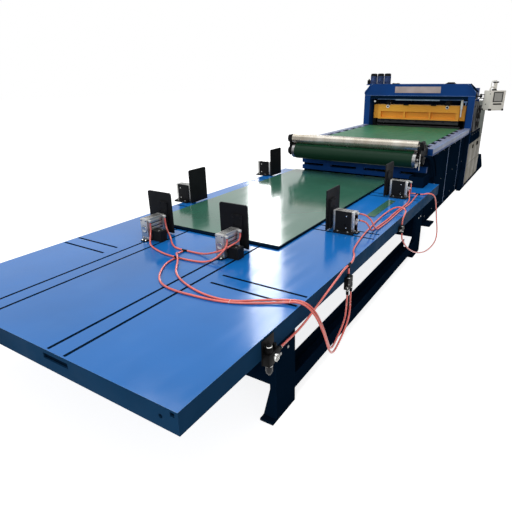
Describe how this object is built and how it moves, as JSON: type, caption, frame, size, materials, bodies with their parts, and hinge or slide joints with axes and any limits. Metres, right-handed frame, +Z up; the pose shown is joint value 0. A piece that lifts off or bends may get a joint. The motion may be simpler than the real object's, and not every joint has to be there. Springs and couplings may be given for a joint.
{
  "type": "cut-to-length sheet line with shear, belt outfeed and stacking table",
  "caption": "Sheet-metal shear with a powered belt outfeed, a chrome pinch roller and a slotted stacking table with air-driven stops.",
  "frame": {"origin": "middle of the shear's sole plate, on the floor", "axes": "+Y from the stacking table towards the shear, +X towards the side with the operator panel, +Z up"},
  "size_m": [2.2907, 8.447, 1.689],
  "materials": {
    "beige_paint": "beige panel enamel",
    "black_plastic": "black moulded plastic",
    "black_steel": "black oxide steel",
    "blue_gloss": "glossy blue machine enamel",
    "blue_paint": "satin royal-blue machine enamel",
    "bright_chrome": "hard chrome, polished",
    "green_belt": "smooth green conveyor belting",
    "green_sheet": "grey-green coated sheet steel, glossy",
    "grey_green_paint": "grey-green panel enamel",
    "lamp_white": "white diffuser",
    "navy_paint": "dark navy machine enamel",
    "orange_paint": "orange-yellow enamel",
    "pale_blue_paint": "worn steel-blue enamel",
    "panel_grey": "light grey textured enamel",
    "plain_steel": "ground tool steel",
    "plate_steel": "bare brushed plate",
    "red_hose": "coral-red polyurethane air hose",
    "silver_alloy": "bead-blasted aluminium"
  },
  "bodies": {
    "root": {"air_filter_unit": "black_plastic", "air_fittings": "black_plastic", "air_valves": "black_plastic", "belt": "green_belt", "belt_deck": "navy_paint", "blade_guides": "black_steel", "blank_nameplate": "plate_steel", "conveyor_front_beam": "blue_paint", "conveyor_legs": "navy_paint", "conveyor_rails": "pale_blue_paint", "conveyor_side_panels": "navy_paint", "drum_bearings": "black_steel", "exit_plate": "plain_steel", "fan_motors": "blue_paint", "hose_long_run": "red_hose", "hose_loop": "red_hose", "hose_main": "red_hose", "hose_stop1_front": "red_hose", "hose_stop1_rear": "red_hose", "hose_stop3_front": "red_hose", "hose_stop3_rear": "red_hose", "hose_stop4_lower": "red_hose", "hose_stop4_upper": "red_hose", "hose_stop5_upper": "red_hose", "hose_tee_front": "red_hose", "hose_tee_rear": "red_hose", "lifting_lug": "black_steel", "lower_blade": "plain_steel", "panel_arm": "black_steel", "rear_housing": "beige_paint", "shear_base": "navy_paint", "shear_bed": "navy_paint", "shear_columns": "blue_paint", "shear_crown": "blue_paint", "sheet_blanks": "green_sheet", "side_covers": "grey_green_paint", "side_linkages": "black_steel", "stop_brackets": "black_steel", "stop_cylinders": "silver_alloy", "table_cross_members": "navy_paint", "table_legs": "navy_paint", "table_rim": "navy_paint", "table_stretchers": "navy_paint", "table_top": "blue_gloss", "table_tray": "navy_paint", "valve_link": "red_hose", "work_lamp": "lamp_white"},
    "blade": {"blade_beam": "orange_paint", "upper_blade": "plain_steel", "jack_rods": "bright_chrome"},
    "front_drum": {"front_drum": "plain_steel"},
    "tail_drum": {"tail_drum": "plain_steel"},
    "pinch_roller": {"pinch_roller": "bright_chrome"},
    "operator_panel": {"operator_panel": "panel_grey"},
    "stop_1": {"stop_plate_1": "black_steel"},
    "stop_2": {"stop_plate_2": "black_steel"},
    "stop_3": {"stop_plate_3": "black_steel"},
    "stop_4": {"stop_plate_4": "black_steel"},
    "stop_5": {"stop_plate_5": "black_steel"},
    "stop_6": {"stop_plate_6": "black_steel"}
  },
  "joints": [
    {"name": "blade_slide", "type": "slide", "parent": "root", "child": "blade", "axis": [0, 0, 1], "range_m": [-0.045, 0]},
    {"name": "tail_drum_spin", "type": "hinge", "parent": "root", "child": "tail_drum", "pos_m": [0, -0.782, 0.8125], "axis": [1, 0, 0], "continuous": true},
    {"name": "front_drum_spin", "type": "hinge", "parent": "root", "child": "front_drum", "pos_m": [0, -3.232, 0.8125], "axis": [1, 0, 0], "continuous": true},
    {"name": "pinch_roller_spin", "type": "hinge", "parent": "root", "child": "pinch_roller", "pos_m": [0, -3.232, 0.955], "axis": [1, 0, 0], "continuous": true},
    {"name": "operator_panel_swivel", "type": "hinge", "parent": "root", "child": "operator_panel", "pos_m": [0.915, -0.605, 1.355], "axis": [0, 0, 1], "range_deg": [-60, 60]},
    {"name": "stop_1_slide", "type": "slide", "parent": "root", "child": "stop_1", "axis": [0, 1, 0], "range_m": [0, 0.05]},
    {"name": "stop_2_slide", "type": "slide", "parent": "root", "child": "stop_2", "axis": [1, 0, 0], "range_m": [0, 0.05]},
    {"name": "stop_3_slide", "type": "slide", "parent": "root", "child": "stop_3", "axis": [0, 1, 0], "range_m": [0, 0.05]},
    {"name": "stop_4_slide", "type": "slide", "parent": "root", "child": "stop_4", "axis": [-1, 0, 0], "range_m": [0, 0.05]},
    {"name": "stop_5_slide", "type": "slide", "parent": "root", "child": "stop_5", "axis": [-1, 0, 0], "range_m": [0, 0.05]},
    {"name": "stop_6_slide", "type": "slide", "parent": "root", "child": "stop_6", "axis": [1, 0, 0], "range_m": [0, 0.05]}
  ],
  "couplings": [
    {"joint": "front_drum_spin", "follows": "tail_drum_spin", "ratio": 1},
    {"joint": "pinch_roller_spin", "follows": "tail_drum_spin", "ratio": -1.5268}
  ]
}
